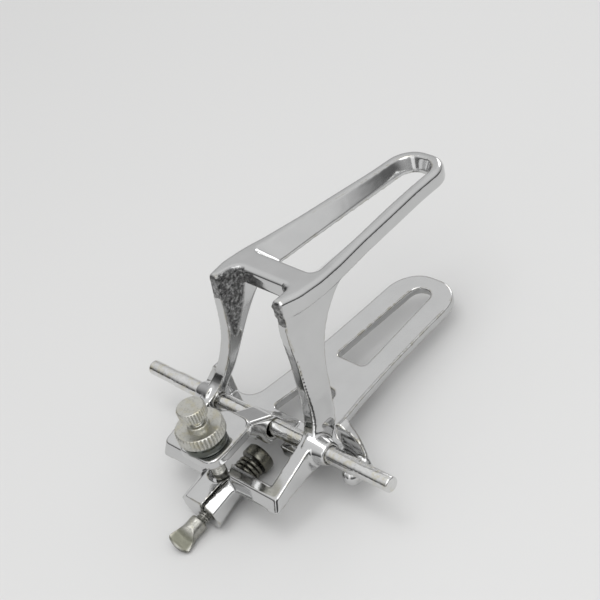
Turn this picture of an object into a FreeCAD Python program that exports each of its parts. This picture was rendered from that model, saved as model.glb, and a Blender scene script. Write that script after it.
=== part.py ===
import FreeCAD, Part
import math, os

# Dental articulator: two cast chromed arms hinged on a cross pin, a stop screw
# with its lock nut at the back, and a wing screw with a spring under the boss.
# Millimetres.  While modelling, the pin axis is the X axis at y = z = 0 and +Z
# is normal to the lower plate; -Y is the front (the two long loops).

os.makedirs("parts", exist_ok=True)
V = FreeCAD.Vector

# ---- driving dimensions -------------------------------------------------
ORIGIN_Y, ORIGIN_Z = -21.236, -13.591     # origin of the part in the modelling frame
PITCH_DEG = 5.14                      # upper arm leans down at the front
PIN_R, PIN_HALF = 2.38, 47.85
FREE_R, FREE_X = 2.2, 36.35            # free ends of the pin: radius and where they start
PIN_BORE_R = 2.43
PLATE_TOP, PLATE_T = -5.3, 2.5
BAR_BOTTOM, BAR_REAR = -8.8, 1.7
LUG_HALF, LUG_END, LUG_TOP, LUG_BOTTOM = 7.3, 24.0, 9.0, 5.7
NECK_HALF = 4.3
STOP_Y, STOP_R, STOP_TIP, STOP_HEAD_R = 18.5, 2.0, -3.8, 4.0
NUT_R, NUT_Z0, NUT_Z1 = 6.8, 12.3, 16.0
COLLAR_R, COLLAR_Z0, COLLAR_Z1 = 6.0, 9.12, 12.2
LOOP_TOP, LOOP_BOTTOM, LOOP_LEDGE = 40.2, 35.4, 36.4
DECK_REAR = 41.8
NOTCH_R, NOTCH_Z = 3.4, -4.1
SCREW_SLOPE = 10.14                   # wing screw axis, down to the rear (upper arm frame)
SCREW_P = (27.5, -13.083)             # where it leaves the boss
SCREW_R, SCREW_BORE_R = 1.7, 1.75
RING_S0, RING_S1, RING_R = -24.2, -20.6, 4.35
SPRING_R, SPRING_WIRE = 3.15, 0.62
SHANK_R, SHANK_S0, SHANK_S1 = 2.6, 1.6, 6.8
FAN_END, FAN_HALF, FAN_T, FAN_ROLL = 11.3, 3.9, 0.75, -31.5


# ---- helpers ------------------------------------------------------------
def rpoly(pts, place, radii):
    """Closed wire with rounded corners. place(a, b) gives the 3-D point."""
    n = len(pts)
    segs = []
    trims = []
    for i in range(n):
        p, a, b = pts[i], pts[i - 1], pts[(i + 1) % n]
        la, lb = math.dist(p, a), math.dist(p, b)
        ua = ((a[0] - p[0]) / la, (a[1] - p[1]) / la)
        ub = ((b[0] - p[0]) / lb, (b[1] - p[1]) / lb)
        cosang = max(-1.0, min(1.0, ua[0] * ub[0] + ua[1] * ub[1]))
        ang = math.acos(cosang)
        r = radii[i] if isinstance(radii, (list, tuple)) else radii
        if r <= 0 or abs(math.pi - ang) < 1e-3:
            trims.append((p, p, None))
            continue
        t = min(r / math.tan(ang / 2), 0.4995 * la, 0.4995 * lb)
        r = t * math.tan(ang / 2)
        bis = (ua[0] + ub[0], ua[1] + ub[1])
        lbis = math.hypot(*bis)
        h = r / math.sin(ang / 2)
        mid = (p[0] + bis[0] / lbis * (h - r), p[1] + bis[1] / lbis * (h - r))
        trims.append(((p[0] + ua[0] * t, p[1] + ua[1] * t), (p[0] + ub[0] * t, p[1] + ub[1] * t), mid))
    for i in range(n):
        s, e, m = trims[i]
        if m:
            segs.append(Part.Arc(place(*s), place(*m), place(*e)).toShape())
        nx = trims[(i + 1) % n][0]
        if math.dist(e, nx) > 1e-4:
            segs.append(Part.LineSegment(place(*e), place(*nx)).toShape())
    return Part.Wire(Part.__sortEdges__(segs))


def xy(z):
    return lambda a, b: V(a, b, z)


def yz(x):
    return lambda a, b: V(x, a, b)


def xz(y):
    return lambda a, b: V(a, y, b)


def prism(wire, vec):
    return Part.Face(wire).extrude(vec)


def mirror_pts(right):
    """Right-hand half outline from front to rear -> closed symmetric outline."""
    return right + [(-a, b) for a, b in reversed(right)]


def spline(pts):
    c = Part.BSplineCurve()
    c.interpolate([V(*p) for p in pts])
    return c.toShape()


def closed(edges):
    return Part.Wire(Part.__sortEdges__(edges))


def line(a, b):
    return Part.LineSegment(V(*a), V(*b)).toShape()


def cyl(p, d, r, h):
    return Part.makeCylinder(r, h, V(*p), V(*d))


def box(x0, x1, y0, y1, z0, z1):
    return Part.makeBox(x1 - x0, y1 - y0, z1 - z0, V(x0, y0, z0))


def both(s):
    m = s.mirror(V(0, 0, 0), V(1, 0, 0))
    return [s, m]


def fuse(shapes):
    out = shapes[0].multiFuse(shapes[1:])
    out = out.removeSplitter()
    return out


def solid(s):
    if s.ShapeType != "Solid":
        assert len(s.Solids) == 1, len(s.Solids)
        s = s.Solids[0]
    return s


def soften(shape, pick, radius):
    """Round the edges that pick(edge) selects, as many as the kernel allows."""
    edges = [e for e in shape.Edges if pick(e)]
    if not edges:
        return shape
    for r in (radius, radius * 0.7, radius * 0.45):
        try:
            out = shape.makeFillet(r, edges)
            if out.isValid() and len(out.Solids) == 1 and out.Volume > 0.8 * shape.Volume:
                return out.Solids[0]
        except Exception:
            pass
    done = shape
    return done


def flat_at(e, z, tol=0.02):
    b = e.BoundBox
    return abs(b.ZMin - z) < tol and abs(b.ZMax - z) < tol


def put(shape, name):
    s = shape.copy()
    s.translate(V(0, -ORIGIN_Y, -ORIGIN_Z))
    assert s.isValid(), name
    assert len(s.Solids) == 1, (name, len(s.Solids))
    s.Solids[0].exportStep("parts/" + name + ".step")
    return s


def to_lower(s):
    s = s.copy()
    s.rotate(V(0, 0, 0), V(1, 0, 0), PITCH_DEG)
    return s


# ---- lower arm ----------------------------------------------------------
def lower_arm():
    zb = PLATE_TOP - PLATE_T
    right = [(11.3, -71.5), (11.9, -52.6), (12.6, -38.0), (13.9, -23.0), (15.9, -8.6),
             (27.3, -8.3), (32.6, -6.3), (33.4, -4.6), (28.0, -1.8),
             (16.6, -1.8), (16.6, BAR_REAR)]
    rad = [11.3, 60, 60, 60, 5.0, 12, 1.2, 1.0, 1.0, 2.0, 1.5]
    plate = prism(rpoly(mirror_pts(right), xy(zb), rad + rad[::-1]), V(0, 0, PLATE_T))
    # cross bar, a little thicker than the plate
    bar = prism(rpoly(mirror_pts([(19.0, -8.4), (27.5, -7.6), (29.5, -4.6), (28.5, -1.8), (16.6, -1.8), (16.6, BAR_REAR)]),
                      xy(BAR_BOTTOM), [4, 2, 1, 1, 2, 1.5, 1.5, 2, 1, 1, 2, 4]), V(0, 0, PLATE_TOP - BAR_BOTTOM))
    # front slot and rear opening
    slot_r = [(3.5, -66.5), (4.4, -52.0), (5.0, -43.0), (5.6, -33.1)]
    slot = prism(rpoly(mirror_pts(slot_r), xy(zb - 5), [3.4, 30, 30, 1.5, 1.5, 30, 30, 3.4]), V(0, 0, 12))
    rear_r = [(5.4, -22.0), (7.9, -8.6)]
    rear = prism(rpoly(mirror_pts(rear_r), xy(zb - 5), [3.0, 1.6, 1.6, 3.0]), V(0, 0, 12))
    body = plate.cut(slot).cut(rear)
    body = soften(body, lambda e: flat_at(e, PLATE_TOP) and e.BoundBox.YMax < -16, 0.5)
    body = body.fuse(bar.cut(rear))
    # condylar guides at both ends: front wall, and a finger under the pin
    parts = []
    wall_out = [(22.7, zb), (22.7, 3.6), (24.2, 5.3), (26.0, 4.7), (27.7, 2.6), (30.0, 0.0), (31.9, -2.7), (33.1, -5.3), (33.3, zb)]
    wall = prism(rpoly(wall_out, xz(-12), [0, 1.2, 1.2, 3, 8, 8, 8, 3, 0]), V(0, 14, 0))
    plan = [(22.0, -9.0), (26.0, -8.9), (28.3, -8.5), (30.4, -7.7), (32.2, -6.7), (33.6, -5.4),
            (33.6, -3.6), (32.0, -4.2), (29.0, -5.6), (26.0, -6.0), (22.0, -6.1)]
    wall = wall.common(prism(rpoly(plan, xy(-10), [0, 20, 10, 10, 10, 0.6, 0.6, 10, 10, 10, 0]), V(0, 0, 18)))
    # polished hollow facing the pin
    wall = wall.cut(cyl((20, 0.6, 0.6), (1, 0, 0), 7.3, 20))
    finger = cyl((30.6, -6.2, -6.3), (0, 1, 0), 2.9, 5.2)
    finger = finger.fuse(Part.makeSphere(2.9, V(30.6, -1.0, -6.3)))
    finger = solid(finger.removeSplitter())
    for s in (wall, finger):
        parts += both(s)
    # neck that rises from the bar around the pin and carries the lug
    neck_pts = [(-8.2, -5.4), (-4.4, -1.2), (-1.0, 3.6), (3.4, 5.9), (8.0, 8.3), (13.0, 8.3), (13.0, 5.7),
                (9.4, 5.7), (5.3, 1.0), (4.5, -2.5), (2.2, -5.4)]
    neck = prism(rpoly(neck_pts, yz(-NECK_HALF), [0, 6, 4, 10, 4, 0, 0, 3, 3, 3, 0]), V(2 * NECK_HALF, 0, 0))
    neck = soften(neck, lambda e: e.BoundBox.XMax - e.BoundBox.XMin < 0.01 and e.BoundBox.ZMin > -5.3
                  and e.BoundBox.YMin < 12 and e.BoundBox.ZMax < 9.01 and e.BoundBox.YMax < 12.9, 1.3)
    lug = prism(rpoly(mirror_pts([(6.2, 6.3), (6.9, 13.5), (LUG_HALF, 17.5), (LUG_HALF, LUG_END)])[::-1], xy(LUG_BOTTOM),
                      [5.4, 12, 10, 6.4, 6.4, 10, 12, 5.4]), V(0, 0, LUG_TOP - LUG_BOTTOM))
    lug = soften(lug, lambda e: (flat_at(e, LUG_TOP) or flat_at(e, LUG_BOTTOM)) and e.BoundBox.YMax > 8, 0.7)
    body = fuse([body, neck, lug] + parts)
    # pin passage through the neck, long enough for the pin to run back
    body = body.cut(cyl((-8, 0, 0), (1, 0, 0), 2.5, 16))
    body = body.cut(cyl((-8, 0.5, 0), (1, 0, 0), 2.5, 16))
    body = body.cut(box(-8, 8, 0, 0.5, -2.5, 2.5))
    # relief under the bar and the neck, in which the spring's front ring swings
    body = body.cut(box(-5.6, 5.6, -3.9, 6, -12, -5.75))
    side = lambda y, z: V(-5.3, y, z)
    arc = Part.Arc(side(-0.78, -3.93), side(0.6, -3.955), side(1.94, -3.5)).toShape()
    pts = [(1.94, -3.5), (6.5, -3.5), (6.5, -12.0), (-7.55, -12.0), (-0.78, -3.93)]
    sides = [line(side(*a), side(*b)) for a, b in zip(pts, pts[1:])]
    body = body.cut(Part.Face(Part.Wire([arc] + sides)).extrude(V(10.6, 0, 0)))
    # threaded hole for the stop screw
    body = body.cut(cyl((0, STOP_Y, 0), (0, 0, 1), STOP_R + 0.05, 14))
    return solid(body)


# ---- upper arm (modelled square to its own loop, then pitched) ----------
def along(s, a=0.0, b=0.0):
    """Point on the wing screw axis, s mm behind the boss; a across (X), b upward."""
    t = math.radians(SCREW_SLOPE)
    return V(a, SCREW_P[0] + s * math.cos(t) + b * math.sin(t), SCREW_P[1] - s * math.sin(t) + b * math.cos(t))


AXIS = V(0, math.cos(math.radians(SCREW_SLOPE)), -math.sin(math.radians(SCREW_SLOPE)))


def upper_arm():
    outer_r = [(9.0, -79.2), (9.9, -64.0), (11.4, -51.5), (12.8, -39.0), (14.4, -29.0), (15.7, -20.0),
               (15.7, -12.0), (14.0, -5.6), (10.6, -5.4), (9.8, -12.6)]
    rad = [9.0, 60, 60, 60, 60, 30, 12, 1.0, 0.6, 2.2]
    deck = prism(rpoly(mirror_pts(outer_r), xy(LOOP_BOTTOM), rad + rad[::-1]), V(0, 0, 8))
    roof = prism(rpoly([(-90, LOOP_TOP), (-27, LOOP_TOP), (0, DECK_REAR), (0, 60), (-90, 60)], yz(-20), [0, 60, 0, 0, 0]), V(40, 0, 0))
    deck = deck.cut(roof)
    deck = soften(deck, lambda e: e.BoundBox.ZMin > LOOP_TOP - 0.05 and e.BoundBox.ZMax - e.BoundBox.ZMin < 1.3
                  and not (e.BoundBox.YMax - e.BoundBox.YMin < 0.5 and e.BoundBox.XLength > 20), 1.5)
    deck = soften(deck, lambda e: flat_at(e, LOOP_BOTTOM) and e.BoundBox.YMax < -11.9 and abs(e.BoundBox.XMax) > 8.5, 1.0)
    rim_r = [(6.3, -76.3), (6.9, -64.6), (8.2, -52.0), (10.2, -38.0), (11.9, -20.3)]
    led_r = [(4.5, -74.9), (4.9, -64.6), (5.5, -51.0), (6.0, -38.0), (6.3, -23.5)]
    rr = [6.3, 40, 40, 40, 3.0]
    lr = [4.5, 40, 40, 40, 1.6]
    k = (LOOP_TOP + 0.6 - LOOP_LEDGE) / (LOOP_TOP - LOOP_LEDGE)
    hi = [(b[0] + (a[0] - b[0]) * k, b[1] + (a[1] - b[1]) * k) for a, b in zip(rim_r, led_r)]
    w0 = rpoly(mirror_pts(led_r), xy(LOOP_LEDGE), lr + lr[::-1])
    w1 = rpoly(mirror_pts(hi), xy(LOOP_TOP + 0.6), rr + rr[::-1])
    hollow = Part.makeLoft([w0, w1], True, True)
    slot = prism(rpoly(mirror_pts(led_r), xy(LOOP_BOTTOM - 1), lr + lr[::-1]), V(0, 0, LOOP_LEDGE - LOOP_BOTTOM + 1.01))
    deck = deck.cut(hollow).cut(slot)

    # legs: side profile crossed with a front-view band
    rear = [(-5.3, 41.0), (-5.6, 38.3), (-5.4, 32.4), (-5.2, 25.9), (-4.9, 20.5), (-4.1, 16.1), (-3.1, 11.7),
            (-1.8, 8.1), (-0.5, 5.8), (1.1, 4.1), (2.9, 2.95)]
    front = [(-27.0, 35.6), (-24.0, 33.6), (-21.5, 31.0), (-19.5, 28.8), (-16.9, 25.2), (-15.1, 21.8), (-13.6, 18.3),
             (-11.8, 13.2), (-9.6, 7.6), (-7.4, 3.6), (-4.6, 0.4), (-3.9, -1.2)]
    r = 3.9
    low = [(-3.9, -1.2), (-2.9, -2.7), (-1.3, -3.75), (0.6, -3.9), (4.9, -3.7), (10.3, -4.5), (15.1, -5.6), (20.2, -7.1)]
    P = lambda q: (0, q[0], q[1])
    rear[0] = (-5.4, 39.5)
    edges = [spline([P(q) for q in rear]), line(P(rear[-1]), P((18.6, -2.9))), line(P((18.6, -2.9)), P(low[-1])),
             spline([P(q) for q in low]), spline([P(q) for q in front]),
             line(P(front[0]), P((-27.0, 38.5))), line(P((-27.0, 38.5)), P(rear[0]))]
    side = Part.Face(closed(edges)).extrude(V(40, 0, 0))
    out = [(12.6, 42.0), (13.2, 40.1), (14.0, 38.0), (14.3, 32.4), (14.9, 25.9), (15.9, 20.5), (17.0, 16.1),
           (18.5, 11.7), (19.9, 8.1), (21.1, 5.0), (22.0, 2.0), (22.7, -1.5), (23.5, -6.0), (23.8, -8.0)]
    inn = []
    for x, z in out:
        t = 3.2 + (4.3 - 3.2) * min(1.0, max(0.0, (41 - z) / 41.0))
        inn.append((x - t, z))
    B = lambda q: (q[0], 0, q[1])
    band = [spline([B(q) for q in out]), line(B(out[-1]), B(inn[-1])), spline([B(q) for q in inn]), line(B(inn[0]), B(out[0]))]
    band = Part.Face(closed(band)).extrude(V(0, 70, 0))
    band.translate(V(0, -40, 0))
    leg = side.common(band)
    # the front edge is drafted: it lies further back on the inner side
    k = 1.1
    fr = [(-60.0, 45.0), (-30.0, 36.5)] + front[:-2] + [(-5.2, -1.0), (-5.2, -12.0)]
    xo = lambda z: 12.6 + max(0.0, min(1.0, (38 - z) / 36.0)) ** 1.6 * 9.4
    lim = [(0, y + k * xo(z), z) for y, z in fr[1:-1]]
    lim_edges = [spline(lim), line(lim[-1], (0, lim[-1][1], -12)), line((0, lim[-1][1], -12), (0, 60, -12)),
                 line((0, 60, -12), (0, 60, 45)), line((0, 60, 45), (0, lim[0][1], 45)), line((0, lim[0][1], 45), lim[0])]
    lim_solid = Part.Face(closed(lim_edges)).extrude(V(40, -40 * k, 0))
    cut_leg = leg.common(lim_solid)
    if cut_leg.isValid() and len(cut_leg.Solids) == 1:
        leg = cut_leg
    leg = solid(leg)
    leg = soften(leg, lambda e: e.Length > 6 and e.BoundBox.ZMax < 36.5 and e.BoundBox.YMax < 18.4, 0.5)
    leg = soften(leg, lambda e: e.Length < 6.5 and e.BoundBox.YMin > 17.5 and e.BoundBox.XMin > 22.0, 1.4)
    hub = Part.makeCone(4.9, 3.15, 6.5, V(19.4, 0, 0), V(1, 0, 0))
    hub = soften(solid(hub), lambda e: abs(e.BoundBox.XMin - 25.9) < 0.01, 0.35)
    cross = prism(rpoly([(15.2, -1.65), (18.6, -2.9), (20.2, -7.1), (16.2, -5.9)], yz(-21.6), [0.6, 0.3, 0.3, 0.6]), V(43.2, 0, 0))

    # inclined block for the wing screw
    sec = [([3.8, 6.6, 6.9, 3.0], [-2.4, -4.0, -7.5, -13.8], 15.0),
           ([3.8, 6.6, 6.9, 2.9], [-4.0, -5.6, -8.8, -14.6], 19.0)]
    wires = []
    for xs, zs, y in sec:
        pts = [V(x, y, z) for x, z in zip(xs, zs)] + [V(-x, y, z) for x, z in reversed(list(zip(xs, zs)))]
        wires.append(Part.makePolygon(pts + [pts[0]]))
    end = [(3.7, 7.1), (6.5, 4.9), (7.1, 0.95), (5.0, -2.5)]
    pts = [along(0, a, b) for a, b in end] + [along(0, -a, b) for a, b in reversed(end)]
    wires.append(Part.makePolygon(pts + [pts[0]]))
    boss = Part.makeLoft(wires, True, True)
    boss = soften(boss, lambda e: e.BoundBox.YMax - e.BoundBox.YMin > 3.5 and e.BoundBox.XLength < 3.2
                  and abs(e.BoundBox.XMin + e.BoundBox.XMax) > 8, 0.9)

    body = fuse([deck] + both(leg) + both(hub) + [cross, boss])
    # pin bore through both legs
    body = body.cut(cyl((-30, 0, 0), (1, 0, 0), PIN_BORE_R, 60))
    # screw bore and the clamp slit
    p = along(-14)
    body = body.cut(Part.makeCylinder(SCREW_BORE_R, 20, p, AXIS))
    slit = Part.makeBox(0.9, 14, 12, V(-0.45, -3.0, 0.6))
    slit.rotate(V(0, 0, 0), V(0, 1, 0), -26.0)
    slit.rotate(V(0, 0, 0), V(1, 0, 0), -SCREW_SLOPE)
    q = along(-7.8)
    slit.translate(q)
    body = body.cut(slit)
    low = to_lower(solid(body))
    # seat for the stop screw's tip
    low = low.cut(cyl((0, STOP_Y, NOTCH_Z), (0, 0, 1), NOTCH_R, 12))
    return solid(low)


# ---- turned parts -------------------------------------------------------
def revolve(profile):
    w = Part.makePolygon([V(a, 0, b) for a, b in profile] + [V(profile[0][0], 0, profile[0][1])])
    return solid(Part.Face(w).revolve(V(0, 0, 0), V(0, 0, 1), 360))


def turned(profile):
    """Profile (radius, z) turned about the stop screw's axis."""
    s = revolve(profile)
    s.translate(V(0, STOP_Y, 0))
    return s


def on_screw(profile):
    """Profile (radius, s) turned about the wing screw's axis, in the lower frame."""
    s = revolve(profile)
    s.rotate(V(0, 0, 0), V(1, 0, 0), -(90 + SCREW_SLOPE))
    s.translate(along(0))
    return to_lower(s)


lower = lower_arm()
put(lower, "lower_arm")
upper = upper_arm()
put(upper, "upper_arm")

# the free ends are finished a little thinner than the bearing length
c = 0.5
half = [(0, -PIN_HALF), (FREE_R - c, -PIN_HALF), (FREE_R, -PIN_HALF + c), (FREE_R, -FREE_X), (PIN_R, 0.1 - FREE_X)]
pin = revolve(half + [(r, -x) for r, x in half[::-1]])
pin.rotate(V(0, 0, 0), V(0, 1, 0), 90)
put(pin, "condylar_pin")

put(turned([(0, STOP_TIP), (1.5, STOP_TIP), (STOP_R, STOP_TIP + 0.5), (STOP_R, 21.9), (0, 21.9)]), "stop_screw")
b = STOP_R + 0.05
put(turned([(b, 19.3), (STOP_HEAD_R - 0.4, 19.3), (STOP_HEAD_R, 19.7), (STOP_HEAD_R, 22.35), (STOP_HEAD_R - 0.4, 22.75),
            (0, 22.75), (0, 22.0), (b, 22.0)]), "stop_knob")
put(turned([(b, COLLAR_Z0), (COLLAR_R - 0.4, COLLAR_Z0), (COLLAR_R, COLLAR_Z0 + 0.4), (COLLAR_R, COLLAR_Z1 - 0.6),
            (COLLAR_R - 0.6, COLLAR_Z1), (b, COLLAR_Z1)]), "lock_collar")
put(turned([(b, NUT_Z0), (NUT_R - 0.5, NUT_Z0), (NUT_R, NUT_Z0 + 0.5), (NUT_R, NUT_Z1 - 0.5), (NUT_R - 0.5, NUT_Z1),
            (3.0, NUT_Z1), (2.8, NUT_Z1 + 0.8), (b, NUT_Z1 + 0.8)]), "lock_nut")

put(on_screw([(0, RING_S0 + 0.1), (SCREW_R, RING_S0 + 0.1), (SCREW_R, 4.0), (0, 4.0)]), "wing_screw")
rb = SCREW_R + 0.05
put(on_screw([(rb, RING_S0), (RING_R - 0.5, RING_S0), (RING_R, RING_S0 + 0.5), (RING_R, RING_S1 - 0.2), (RING_R - 0.2, RING_S1), (rb, RING_S1)]), "spring_ring")

# thumb piece: a round shank that flares into a flat fan
shank = cyl((0, 0, SHANK_S0), (0, 0, 1), SHANK_R, SHANK_S1 - SHANK_S0 - 2.0)
circ = Part.Wire([Part.Circle(V(0, 0, SHANK_S1 - 2.0), V(0, 0, 1), SHANK_R).toShape()])
el = Part.Wire([Part.Ellipse(V(0, 0, FAN_END), FAN_HALF, FAN_T).toShape()])
fan = Part.makeLoft([circ, el], True, True)
fan = fan.common(cyl((0, -6, FAN_END - 7.0), (0, 1, 0), 7.0, 12).fuse(box(-8, 8, -6, 6, SHANK_S1 - 3, FAN_END - 7.0 + 0.01)))
thumb = fuse([shank, fan]).cut(cyl((0, 0, SHANK_S0 - 1), (0, 0, 1), rb, 4.1 - SHANK_S0 + 1))
thumb.rotate(V(0, 0, 0), V(0, 0, 1), FAN_ROLL)
thumb.rotate(V(0, 0, 0), V(1, 0, 0), -(90 + SCREW_SLOPE))
thumb.translate(along(0))
put(to_lower(thumb), "thumb_piece")

# spring between the boss and the ring
s0, s1 = RING_S1 + 0.15, -12.95
h = (s1 - s0) - 2 * SPRING_WIRE
turns = 4.5
helix = Part.makeHelix(h / turns, h, SPRING_R)
wire = Part.Wire([Part.Circle(V(SPRING_R, 0, 0), V(0, 1, 0), SPRING_WIRE).toShape()])
coil = Part.Wire(helix).makePipeShell([wire], True, False)
coil = solid(coil)
coil.translate(V(0, 0, s0 + SPRING_WIRE))
coil.rotate(V(0, 0, 0), V(1, 0, 0), -(90 + SCREW_SLOPE))
coil.translate(along(0))
put(to_lower(coil), "return_spring")
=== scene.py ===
import bpy, bmesh, math
import numpy as np
from mathutils import Vector, Matrix, noise


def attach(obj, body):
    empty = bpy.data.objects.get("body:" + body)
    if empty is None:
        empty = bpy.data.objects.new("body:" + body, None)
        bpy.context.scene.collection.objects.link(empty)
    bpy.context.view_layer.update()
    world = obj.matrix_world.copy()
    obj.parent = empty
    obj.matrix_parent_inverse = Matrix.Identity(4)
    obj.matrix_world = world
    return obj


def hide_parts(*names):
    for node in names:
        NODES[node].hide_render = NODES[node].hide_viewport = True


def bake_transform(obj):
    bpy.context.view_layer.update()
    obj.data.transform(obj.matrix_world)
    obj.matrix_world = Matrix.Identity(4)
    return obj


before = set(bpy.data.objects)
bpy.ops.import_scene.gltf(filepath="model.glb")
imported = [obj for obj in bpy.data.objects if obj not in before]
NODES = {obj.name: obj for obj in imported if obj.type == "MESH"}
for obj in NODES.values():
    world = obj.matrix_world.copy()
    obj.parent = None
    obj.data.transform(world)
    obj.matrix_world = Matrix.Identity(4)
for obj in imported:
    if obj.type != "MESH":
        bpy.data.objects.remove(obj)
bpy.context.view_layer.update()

COL = bpy.context.scene.collection

# Modelling frame (mm, pin axis through 0,0,0) -> row frame (m)
OY, OZ = 21.236, 13.591
def P(x, y, z):
    return Vector((x / 1000.0, (y + OY) / 1000.0, (z + OZ) / 1000.0))

PITCH = math.radians(5.14)
SLOPE = math.radians(10.14)
c5, s5 = math.cos(PITCH), math.sin(PITCH)
def U(x, y, z):
    """Upper-arm frame (mm) -> row frame (m)."""
    return P(x, y * c5 - z * s5, y * s5 + z * c5)
def along(s, a=0.0, b=0.0):
    """On the wing screw's axis: s mm behind the boss, a across, b upward."""
    y = 27.5 + s * math.cos(SLOPE) + b * math.sin(SLOPE)
    z = -13.083 - s * math.sin(SLOPE) + b * math.cos(SLOPE)
    return U(a, y, z)


# ---------------------------------------------------------------- materials
def nodes_of(name):
    m = bpy.data.materials.new(name)
    m.use_nodes = True
    nt = m.node_tree
    bsdf = nt.nodes["Principled BSDF"]
    return m, nt, bsdf


def N(nt, kind, **kw):
    n = nt.nodes.new(kind)
    for k, v in kw.items():
        setattr(n, k, v)
    return n


def ramp(nt, src, stops, interp="LINEAR"):
    r = N(nt, "ShaderNodeValToRGB")
    r.color_ramp.interpolation = interp
    e = r.color_ramp.elements
    while len(e) > 1:
        e.remove(e[-1])
    e[0].position, e[0].color = stops[0][0], tuple(stops[0][1]) + (1,)
    for p, c in stops[1:]:
        q = e.new(p)
        q.color = tuple(c) + (1,)
    nt.links.new(src, r.inputs["Fac"])
    return r.outputs["Color"]


def g(v):
    return (v, v, v)


def tex(nt, scale, detail=3.0, rough=0.55, vec=None, dist=0.0, stretch=None):
    tc = N(nt, "ShaderNodeTexCoord")
    src = tc.outputs["Object"]
    if stretch:
        mp = N(nt, "ShaderNodeMapping")
        mp.inputs["Scale"].default_value = stretch
        nt.links.new(src, mp.inputs["Vector"])
        src = mp.outputs["Vector"]
    t = N(nt, "ShaderNodeTexNoise")
    t.inputs["Scale"].default_value = scale
    t.inputs["Detail"].default_value = detail
    t.inputs["Roughness"].default_value = rough
    t.inputs["Distortion"].default_value = dist
    nt.links.new(src, t.inputs["Vector"])
    return t.outputs["Fac"]


def mix(nt, a, b, fac, mode="MIX"):
    m = N(nt, "ShaderNodeMix", data_type="RGBA", blend_type=mode)
    for sock, v in ((m.inputs[6], a), (m.inputs[7], b), (m.inputs[0], fac)):
        if isinstance(v, (int, float)):
            sock.default_value = v
        elif isinstance(v, tuple):
            sock.default_value = v + (1,)
        else:
            nt.links.new(v, sock)
    return m.outputs[2]


def math_(nt, op, a, b=0.0, clamp=False):
    m = N(nt, "ShaderNodeMath", operation=op, use_clamp=clamp)
    for i, v in enumerate((a, b)):
        if isinstance(v, (int, float)):
            m.inputs[i].default_value = v
        else:
            nt.links.new(v, m.inputs[i])
    return m.outputs[0]


def attr(nt, name):
    a = N(nt, "ShaderNodeAttribute", attribute_name=name)
    return a.outputs["Fac"]


def bump(nt, height, strength, dist, normal=None):
    b = N(nt, "ShaderNodeBump")
    b.inputs["Strength"].default_value = strength
    b.inputs["Distance"].default_value = dist
    nt.links.new(height, b.inputs["Height"])
    if normal:
        nt.links.new(normal, b.inputs["Normal"])
    return b.outputs["Normal"]


def cast_chrome(name, base=(0.70, 0.705, 0.70), rough=(0.05, 0.13), attrs=True):
    """Hand-polished chrome over a casting: bright, faintly wavy, worn to a warm
    olive along sharp edges, matt and dark where the casting was never polished."""
    m, nt, b = nodes_of(name)
    b.inputs["Metallic"].default_value = 1.0
    cloud = tex(nt, 160.0, 3.0)
    fine = tex(nt, 1500.0, 2.0)
    col = ramp(nt, cloud, [(0.3, tuple(x * 0.95 for x in base)), (0.7, base)])
    r = ramp(nt, cloud, [(0.3, g(rough[0])), (0.75, g(rough[1]))])
    if attrs:
        edge = attr(nt, "edge")
        spots = ramp(nt, tex(nt, 420.0, 4.0, 0.65), [(0.44, g(0)), (0.62, g(1))])
        wear = math_(nt, "MULTIPLY", ramp(nt, edge, [(0.45, g(0)), (0.95, g(1))]), spots)
        wear = math_(nt, "MULTIPLY", wear, 0.5)
        col = mix(nt, col, (0.33, 0.30, 0.20), wear)
        r = mix(nt, r, g(0.3), wear)
        raw = attr(nt, "raw")
        grain = tex(nt, 900.0, 6.0, 0.7)
        rawcol = ramp(nt, grain, [(0.36, g(0.035)), (0.5, g(0.16)), (0.64, g(0.55))])
        col = mix(nt, col, rawcol, raw)
        r = mix(nt, r, g(0.38), raw)
        hb = math_(nt, "MULTIPLY", grain, raw)
        nrm = bump(nt, hb, 0.9, 0.0004)
    else:
        nrm = None
    wave = bump(nt, tex(nt, 90.0, 2.0), 0.22, 0.0004, nrm)
    scr = bump(nt, fine, 0.05, 0.00005, wave)
    nt.links.new(col, b.inputs["Base Color"])
    nt.links.new(r, b.inputs["Roughness"])
    nt.links.new(scr, b.inputs["Normal"])
    return m


def turned_metal(name, base, rough, axis_stretch=(1, 1, 1), spots=0.5, lines=0.25):
    """Dull nickel or steel turned on a lathe: fine rings, stains and small pits."""
    m, nt, b = nodes_of(name)
    b.inputs["Metallic"].default_value = 1.0
    cloud = tex(nt, 380.0, 4.0, 0.6)
    pit = ramp(nt, tex(nt, 1700.0, 3.0, 0.6), [(0.36, g(1)), (0.46, g(0))])
    dark = tuple(x * 0.62 for x in base)
    warm = (base[0] * 0.95, base[1] * 0.90, base[2] * 0.72)
    col = ramp(nt, cloud, [(0.28, warm), (0.5, base), (0.75, tuple(min(1, x * 1.08) for x in base))])
    col = mix(nt, col, dark, math_(nt, "MULTIPLY", pit, spots))
    r = ramp(nt, cloud, [(0.3, g(rough[1])), (0.7, g(rough[0]))])
    rings = tex(nt, 2600.0, 2.0, 0.5, stretch=axis_stretch)
    n1 = bump(nt, rings, lines, 0.00006)
    n2 = bump(nt, pit, 0.3, 0.00005, n1)
    nt.links.new(col, b.inputs["Base Color"])
    nt.links.new(r, b.inputs["Roughness"])
    nt.links.new(n2, b.inputs["Normal"])
    return m


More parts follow.
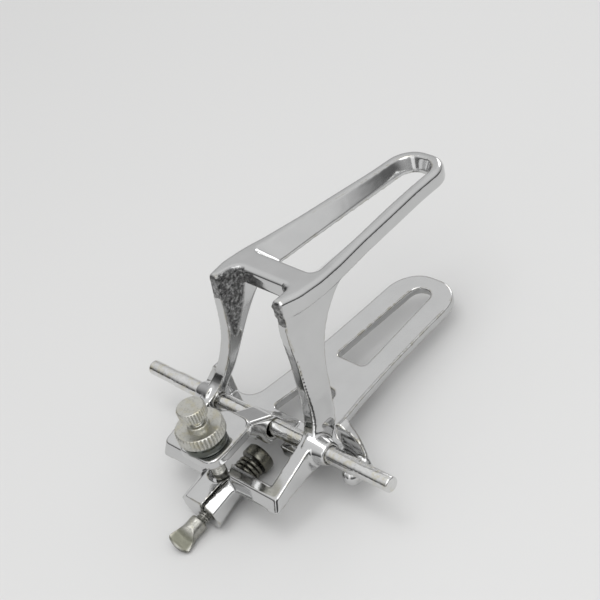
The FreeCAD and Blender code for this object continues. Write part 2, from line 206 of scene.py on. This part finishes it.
MAT_CAST = cast_chrome("polished_cast_chrome", (0.62, 0.622, 0.622), (0.07, 0.16))
MAT_PIN = turned_metal("bright_pin_chrome", (0.70, 0.70, 0.695), (0.06, 0.14), (0.15, 1, 1), spots=0.12, lines=0.05)
MAT_NICKEL = turned_metal("dull_nickel", (0.54, 0.536, 0.50), (0.28, 0.40), (1, 1, 1), spots=0.45, lines=0.16)
MAT_THUMB = turned_metal("worn_nickel", (0.40, 0.397, 0.365), (0.26, 0.40), (1, 1, 1), spots=0.6, lines=0.2)
# The thumb fan's hollow is painted near-black over the worn nickel: painted shade in the hollow.
_nt = MAT_THUMB.node_tree
_b = _nt.nodes["Principled BSDF"]
_src = _b.inputs["Base Color"].links[0].from_socket
_nt.links.new(mix(_nt, _src, (0.15, 0.15, 0.12), attr(_nt, "thumb_hollow_shade")), _b.inputs["Base Color"])
# The collar is a real part, but its near-black colour is a painted shadow and painted reflection of the nut's dark
# underside.
MAT_COLLAR_SHADE = turned_metal("collar_steel_painted_shadow", (0.11, 0.118, 0.11), (0.14, 0.24), (1, 1, 0.2), spots=0.2, lines=0.06)
MAT_SPRING = turned_metal("spring_steel", (0.16, 0.157, 0.135), (0.2, 0.32), (1, 1, 1), spots=0.5, lines=0.12)


# ------------------------------------------------------------------ helpers
def new_obj(name, verts, faces, mat, body, smooth_deg=40):
    # body None: the object is not attached here
    me = bpy.data.meshes.new(name)
    me.from_pydata([tuple(v) for v in verts], [], faces)
    me.update()
    bm = bmesh.new()
    bm.from_mesh(me)
    bmesh.ops.remove_doubles(bm, verts=bm.verts, dist=1e-7)
    bmesh.ops.recalc_face_normals(bm, faces=bm.faces)
    bm.to_mesh(me)
    bm.free()
    me.materials.append(mat)
    shade(me, smooth_deg)
    o = bpy.data.objects.new(name, me)
    COL.objects.link(o)
    if body:
        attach(o, body)
    return o


def shade(me, deg):
    me.polygons.foreach_set("use_smooth", [True] * len(me.polygons))
    bm = bmesh.new()
    bm.from_mesh(me)
    lim = math.radians(deg)
    for e in bm.edges:
        if len(e.link_faces) == 2:
            e.smooth = e.calc_face_angle(0.0) < lim
    bm.to_mesh(me)
    bm.free()
    me.update()


def basis_on(origin, axis, xdir):
    z = axis.normalized()
    x = (xdir - z * xdir.dot(z)).normalized()
    y = z.cross(x)
    return lambda u, v, w: origin + x * (u / 1000.0) + y * (v / 1000.0) + z * (w / 1000.0)


def lathe(name, place, rfun, zs, seg, mat, body, inner=None, smooth_deg=35):
    """Turned or knurled shape. rfun(k, i) -> radius at ring k, segment i (mm)."""
    verts, faces = [], []
    rings = len(zs)
    for k, z in enumerate(zs):
        for i in range(seg):
            a = 2 * math.pi * i / seg
            r = rfun(k, i)
            verts.append(place(r * math.cos(a), r * math.sin(a), z))
    for k in range(rings - 1):
        for i in range(seg):
            j = (i + 1) % seg
            faces.append((k * seg + i, k * seg + j, (k + 1) * seg + j, (k + 1) * seg + i))
    if inner is None:
        c0 = len(verts)
        verts.append(place(0, 0, zs[0]))
        verts.append(place(0, 0, zs[-1]))
        for i in range(seg):
            j = (i + 1) % seg
            faces.append((c0, j, i))
            faces.append((c0 + 1, (rings - 1) * seg + i, (rings - 1) * seg + j))
    else:
        base = len(verts)
        for z in (zs[0], zs[-1]):
            for i in range(seg):
                a = 2 * math.pi * i / seg
                verts.append(place(inner * math.cos(a), inner * math.sin(a), z))
        for i in range(seg):
            j = (i + 1) % seg
            faces.append((base + i, base + j, j, i))
            faces.append((base + seg + j, base + seg + i, (rings - 1) * seg + i, (rings - 1) * seg + j))
            faces.append((base + j, base + i, base + seg + i, base + seg + j))
    return new_obj(name, verts, faces, mat, body, smooth_deg)


def tri(t):
    t = t % 1.0
    return 2 * t if t < 0.5 else 2 - 2 * t


# ----------------------------------------------------------- cast arms
def cast(node, piece, body, voxel, passes, raw=None):
    src = NODES[node]
    me = src.data.copy()
    tmp = bpy.data.objects.new("tmp_" + piece, me)
    COL.objects.link(tmp)
    w = tmp.modifiers.new("w", "WELD")
    w.merge_threshold = 1e-6
    r = tmp.modifiers.new("r", "REMESH")
    r.mode = "VOXEL"
    r.voxel_size = voxel
    r.adaptivity = 0.0
    s = tmp.modifiers.new("s", "SMOOTH")
    s.factor = 0.5
    s.iterations = passes
    dg = bpy.context.evaluated_depsgraph_get()
    out = bpy.data.meshes.new_from_object(tmp.evaluated_get(dg))
    bpy.data.objects.remove(tmp)
    out.name = piece
    n = len(out.vertices)
    co = np.empty(n * 3, np.float32)
    out.vertices.foreach_get("co", co)
    co = co.reshape(-1, 3)
    nr = np.empty(n * 3, np.float32)
    out.vertices.foreach_get("normal", nr)
    nr = nr.reshape(-1, 3)
    ne = len(out.edges)
    ed = np.empty(ne * 2, np.int32)
    out.edges.foreach_get("vertices", ed)
    ed = ed.reshape(-1, 2)

    def mean(val):
        acc = np.zeros_like(val)
        cnt = np.zeros(n, np.float32)
        np.add.at(acc, ed[:, 0], val[ed[:, 1]])
        np.add.at(acc, ed[:, 1], val[ed[:, 0]])
        np.add.at(cnt, ed[:, 0], 1)
        np.add.at(cnt, ed[:, 1], 1)
        return acc / (cnt[:, None] if val.ndim == 2 else cnt)
    lap = ((co - mean(co)) * nr).sum(1) / voxel
    for _ in range(3):
        lap = 0.5 * lap + 0.5 * mean(lap)
    edge = np.clip(lap / 0.06, 0, 1)
    rawv = np.zeros(n, np.float32) if raw is None else raw(co, nr)
    if raw is not None:
        hit = np.where(rawv > 0.01)[0]
        for i in hit:
            p = co[i]
            h = noise.fractal(Vector((p[0] * 900, p[1] * 900, p[2] * 900)), 0.9, 2.0, 4)
            co[i] += nr[i] * (-0.00012 + 0.00010 * h) * rawv[i]
        out.vertices.foreach_set("co", co.reshape(-1))
    for nm, v in (("edge", edge), ("raw", rawv)):
        a = out.attributes.new(nm, "FLOAT", "POINT")
        a.data.foreach_set("value", v.astype(np.float32))
    out.materials.clear()
    out.materials.append(MAT_CAST)
    out.polygons.foreach_set("use_smooth", [True] * len(out.polygons))
    out.update()
    o = bpy.data.objects.new(piece, out)
    COL.objects.link(o)
    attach(o, body)
    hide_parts(node)
    return o


def to_upper(co):
    y = co[:, 1] * 1000 - OY
    z = co[:, 2] * 1000 - OZ
    return co[:, 0] * 1000, y * c5 + z * s5, -y * s5 + z * c5


def raw_upper(co, nr):
    """The inner faces of both legs were never polished: a patch that starts
    under the loop and narrows to a point about half way down."""
    x, y, z = to_upper(co)
    inner = np.clip((-nr[:, 0] * np.sign(x) - 0.25) / 0.4, 0, 1)
    back = np.clip((nr[:, 1] - 0.35) / 0.3, 0, 1) * (z > 34)
    t = np.clip((z - 19.0) / 19.0, 0, 1)
    ymid = -7.0 - 3.5 * t
    half = 0.4 + 5.5 * t ** 0.8
    band = np.clip((half - np.abs(y - ymid)) / 1.0, 0, 1)
    inside = np.clip((np.maximum(inner, back)) * band, 0, 1)
    lim = np.clip((z - 18.0) / 2.0, 0, 1) * (np.abs(x) > 7.5) * (y > -19.0)
    return (inside * lim).astype(np.float32)


VOX = 0.00026
upper = cast("upper_arm", "upper_arm_casting", "upper", VOX, 13, raw_upper)
lower = cast("lower_arm", "lower_arm_casting", "lower", VOX, 10)

# ------------------------------------------------------------- cross pin
R, H = 2.38, 47.85
FR = 2.2
zs = [-H + 0.55 * (1 - math.cos(math.pi / 2 * t / 6)) for t in range(7)] + [-36.35, -36.2]
rr = [FR - 0.55 + 0.55 * math.sin(math.pi / 2 * t / 6) for t in range(7)] + [FR, R]
zs = zs + [-z for z in reversed(zs)]
rr = rr + list(reversed(rr))
pl = basis_on(P(0, 0, 0), Vector((1, 0, 0)), Vector((0, 1, 0)))
pin = lathe("cross_pin", pl, lambda k, i: rr[k], zs, 96, MAT_PIN, "pin", smooth_deg=30)
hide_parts("condylar_pin")

# ------------------------------------------------------------ stop screw
up = basis_on(P(0, 18.5, 0), Vector((0, 0, 1)), Vector((1, 0, 0)))


def thread(name, place, z0, z1, r, depth, pitch, mat, body, plain0=0.0, plain1=0.0, cham=0.45):
    seg = 48
    n = int((z1 - z0) / pitch * 10)
    zs = [z0 + (z1 - z0) * k / n for k in range(n + 1)]

    def rf(k, i):
        z = zs[k]
        t = tri(z / pitch - i / seg)
        w = min(1.0, max(0.0, (z - z0 - plain0) / (pitch * 0.8))) * min(1.0, max(0.0, (z1 - plain1 - z) / (pitch * 0.8)))
        base = r - depth * (1 - t) * w
        lim = min(r - cham + (z - z0), r - cham + (z1 - z))
        return min(base, lim)
    return lathe(name, place, rf, zs, seg, mat, body, smooth_deg=50)


rod = thread("stop_screw_rod", up, -3.8, 21.9, 2.0, 0.28, 0.7, MAT_NICKEL, "stop_rod", plain0=2.2)
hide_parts("stop_screw")


def knurled(name, place, z0, z1, R, depth, count, cham, mat, body, inner, top=None, blind=None):
    """Straight-knurled disc; the chamfers are turned after the knurl."""
    sub = 6
    seg = count * sub
    prof = [(z0, R - cham), (z0 + cham * 0.35, R - cham * 0.55), (z0 + cham, R)]
    m = 3
    for k in range(1, m):
        prof.append((z0 + cham + (z1 - z0 - 2 * cham) * k / m, R))
    prof += [(z1 - cham, R), (z1 - cham * 0.35, R - cham * 0.55), (z1, R - cham)]
    if top:
        prof += top
    zs = [p[0] for p in prof]

    def rf(k, i):
        R0 = prof[k][1]
        t = tri(i / sub)
        rk = R - depth * (1 - min(1.0, t * 1.35))
        return min(R0, rk) if k < 3 + m - 1 + 3 else R0
    return lathe(name, place, rf, zs, seg, mat, body, inner=inner, smooth_deg=28)


knob = knurled("stop_screw_knob", up, 19.3, 22.75, 4.0, 0.30, 28, 0.4, MAT_NICKEL, "stop_head", None,
               top=[(22.75, 3.3), (22.72, 1.5), (22.70, 0.4)])
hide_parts("stop_knob")
nut = knurled("lock_nut_knurled", up, 12.3, 16.0, 6.8, 0.42, 38, 0.5, MAT_NICKEL, "nut", 2.05,
              top=[(16.0, 6.0), (15.93, 5.2), (15.75, 4.0), (15.66, 3.15), (16.6, 2.95), (16.8, 2.75), (16.8, 2.35)])
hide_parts("lock_nut")
cz = [(9.12, 5.55), (9.22, 5.82), (9.5, 6.0), (10.4, 6.0), (11.2, 5.85), (11.8, 5.45), (12.2, 4.7), (12.2, 3.2)]
# Collar under the nut, in steel darkened with a painted shadow and reflection.
col = lathe("lock_collar_turned", up, lambda k, i: cz[k][1], [z for z, r in cz], 96, MAT_COLLAR_SHADE, "nut_collar", inner=2.05, smooth_deg=60)
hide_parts("lock_collar")

# ------------------------------------------------------------ wing screw
ax = (along(1) - along(0)).normalized()
wx = basis_on(along(0), ax, Vector((1, 0, 0)))
wrod = thread("wing_screw_rod", wx, -24.1, 4.0, 1.7, 0.26, 0.7, MAT_THUMB, "wing_rod", cham=0.3)
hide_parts("wing_screw")
rz = [(-24.2, 3.5), (-24.1, 3.9), (-23.8, 4.22), (-23.3, 4.35), (-21.5, 4.35), (-20.9, 4.32), (-20.68, 4.2), (-20.6, 4.0), (-20.6, 3.4), (-20.75, 3.2), (-20.75, 2.2)]
ring = lathe("spring_front_ring", wx, lambda k, i: rz[k][1], [z for z, r in rz], 72, MAT_SPRING, "wing_rod", inner=1.75, smooth_deg=60)
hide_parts("spring_ring")


def thumb():
    seg, roll = 72, math.radians(-31.5)
    ks = 46
    s0, s1 = 1.6, 11.3
    verts, faces = [], []

    def smooth(a, b, t):
        t = max(0.0, min(1.0, (t - a) / (b - a)))
        return t * t * (3 - 2 * t)
    for k in range(ks + 1):
        s = s0 + (s1 - s0) * k / ks
        ch = 0.35 * max(0.0, 1 - (s - s0) / 0.35)
        a = 2.6 + 0.95 * smooth(4.6, 11.3, s) - ch
        ay = 2.6 - ch
        b = 2.62 - 1.45 * smooth(4.9, 8.2, s) - 0.5 * smooth(7.5, 11.3, s)
        end = 0.25 * max(0.0, 1 - (s1 - s) / 0.3)
        a -= end
        for i in range(seg):
            t = 2 * math.pi * i / seg
            x = a * math.cos(t)
            y = ay * math.sin(t)
            lim = max(0.15, b - end)
            # stamped flats with a shallow thumb hollow
            hollow = 0.16 * smooth(6.4, 8.5, s) * (1 - smooth(9.6, 11.1, s)) * max(0.0, 1 - (x / 2.6) ** 2)
            y = max(-lim + hollow, min(lim - hollow, y))
            bow = smooth(6.0, 11.3, s) * (x * x) / 12.0
            u = x * math.cos(roll) - y * math.sin(roll)
            v = x * math.sin(roll) + y * math.cos(roll)
            verts.append(wx(u, v, s - bow))
    for k in range(ks):
        for i in range(seg):
            j = (i + 1) % seg
            faces.append((k * seg + i, k * seg + j, (k + 1) * seg + j, (k + 1) * seg + i))
    faces.append(tuple(range(seg))[::-1])
    faces.append(tuple(ks * seg + i for i in range(seg)))
    o = new_obj("thumb_fan", verts, faces, MAT_THUMB, "wing_thumb", 38)
    me = o.data
    # Mask of the thumb hollow, where the fan's colour carries painted shade.
    vals = []
    for v in me.vertices:
        d = v.co - along(0)
        sv = d.dot(ax) * 1000.0
        wv = (d - ax * d.dot(ax)).length * 1000.0
        vals.append(smooth(5.6, 7.6, sv) * (1 - smooth(10.5, 11.2, sv)) * (1 - smooth(2.5, 3.5, wv)))
    at = me.attributes.new("thumb_hollow_shade", "FLOAT", "POINT")
    at.data.foreach_set("value", np.array(vals, np.float32))
    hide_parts("thumb_piece")
    return o


thumb()


def spring():
    s0, s1 = -20.58, -12.92
    r, wr, seg = 3.15, 0.62, 14
    closed_t, act = 0.8, 3.2
    total = closed_t * 2 + act
    pc = 2 * wr * 1.02
    L = (s1 - s0) - 2 * wr
    pa = (L - 2 * closed_t * pc) / act
    n = int(total * 40)
    path = []
    for k in range(n + 1):
        t = total * k / n
        if t < closed_t:
            z = pc * t
        elif t < closed_t + act:
            z = pc * closed_t + pa * (t - closed_t)
        else:
            z = pc * closed_t + pa * act + pc * (t - closed_t - act)
        a = 2 * math.pi * t + 0.8
        path.append(Vector((r * math.cos(a), r * math.sin(a), s0 + wr + z)))
    verts, faces = [], []
    for k, p in enumerate(path):
        q0, q1 = path[max(0, k - 1)], path[min(n, k + 1)]
        tan = (q1 - q0).normalized()
        rad = Vector((p.x, p.y, 0)).normalized()
        rad = (rad - tan * rad.dot(tan)).normalized()
        bi = tan.cross(rad)
        sc = 1.0 if 1 < k < n - 1 else 0.8
        for i in range(seg):
            a = 2 * math.pi * i / seg
            q = p + (rad * math.cos(a) + bi * math.sin(a)) * wr * sc
            verts.append(wx(q.x, q.y, q.z))
    for k in range(n):
        for i in range(seg):
            j = (i + 1) % seg
            faces.append((k * seg + i, k * seg + j, (k + 1) * seg + j, (k + 1) * seg + i))
    faces.append(tuple(range(seg))[::-1])
    faces.append(tuple(n * seg + i for i in range(seg)))
    me_o = new_obj("coil_spring", verts, faces, MAT_SPRING, None, 40)
    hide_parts("return_spring")
    return me_o


coil = spring()
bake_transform(coil)

# ----------------------------------------------------------------- stage
def plain(name, col, rough):
    m, nt, b = nodes_of(name)
    t = tex(nt, 3.0, 2.0)
    c = ramp(nt, t, [(0.2, tuple(x * 0.985 for x in col)), (0.8, col)])
    nt.links.new(c, b.inputs["Base Color"])
    b.inputs["Roughness"].default_value = rough
    return m


bpy.ops.mesh.primitive_plane_add(size=2.2, location=(0, 0, -0.0002))
floor = bpy.context.object
floor.name = "floor"
floor.data.materials.append(plain("pale_floor", (0.69, 0.69, 0.687), 0.8))

world = bpy.data.worlds.new("studio")
bpy.context.scene.world = world
world.use_nodes = True
wn = world.node_tree
bg = wn.nodes["Background"]
tcw = N(wn, "ShaderNodeTexCoord")
sep = N(wn, "ShaderNodeSeparateXYZ")
wn.links.new(tcw.outputs["Generated"], sep.inputs[0])
sky = ramp(wn, sep.outputs["Z"], [(0.0, g(0.05)), (0.12, g(0.07)), (0.25, g(0.20)), (0.42, g(0.58)), (0.60, g(0.82)), (0.80, g(0.84)), (1.0, g(0.95))])
low = ramp(wn, sep.outputs["Z"], [(0.0, g(0.42)), (0.15, g(0.50)), (0.40, g(0.66)), (0.60, g(0.82)), (0.80, g(0.84)), (1.0, g(0.95))])
dot = N(wn, "ShaderNodeVectorMath", operation="DOT_PRODUCT")
wn.links.new(tcw.outputs["Generated"], dot.inputs[0])
dot.inputs[1].default_value = (0.62, -0.78, 0.0)
side = ramp(wn, dot.outputs["Value"], [(0.35, g(0)), (0.75, g(1))])
wn.links.new(mix(wn, sky, low, side), bg.inputs["Color"])
bg.inputs["Strength"].default_value = 1.0


def area(name, loc, target, size, power, size_y=None):
    d = bpy.data.lights.new(name, "AREA")
    d.energy = power
    d.size = size
    if size_y:
        d.shape = "RECTANGLE"
        d.size_y = size_y
    o = bpy.data.objects.new(name, d)
    o.location = loc
    o.rotation_euler = (Vector(target) - Vector(loc)).to_track_quat("-Z", "Y").to_euler()
    COL.objects.link(o)
    return o


area("key_softbox", (-0.42, 0.18, 0.62), (0, 0, 0.03), 0.58, 1.5)
area("top_softbox", (0.02, 0.02, 0.80), (0, 0, 0.03), 0.36, 0.8)
area("front_softbox", (0.30, -0.75, 0.30), (0, 0, 0.03), 0.30, 0.6)
area("rear_strip", (-0.12, 0.55, 0.22), (0, 0, 0.02), 0.22, 0.3, 0.60)

bpy.context.scene.view_settings.view_transform = "Standard"

# ---------------------------------------------------------------- camera
def rot(az, el, roll):
    a, e, r = (math.radians(v) for v in (az, el, roll))
    look = Vector((-math.sin(a) * math.cos(e), math.cos(a) * math.cos(e), -math.sin(e)))
    right = Vector((math.cos(a), math.sin(a), 0))
    upv = right.cross(look)
    return right * math.cos(r) + upv * math.sin(r), -right * math.sin(r) + upv * math.cos(r), look


right, upv, look = rot(238.221, 38.921, -21.472)
F, D = 1600.325, 434.661
u0, v0 = 264.629, 421.743
x0, y0 = (u0 - 300) * D / F, -(v0 - 350) * D / F
pos = -(right * x0 + upv * y0 + look * D)
cam_d = bpy.data.cameras.new("photo_camera")
cam = bpy.data.objects.new("photo_camera", cam_d)
COL.objects.link(cam)
cam_d.sensor_width = 36.0
cam_d.sensor_fit = "HORIZONTAL"
cam_d.lens = F / 600.0 * 36.0
cam_d.shift_y = 50.0 / 600.0
cam_d.clip_start = 0.01
m = Matrix((right, upv, -look)).transposed().to_4x4()
m.translation = P(pos.x, pos.y, pos.z)
cam.matrix_world = m
bpy.context.scene.camera = cam
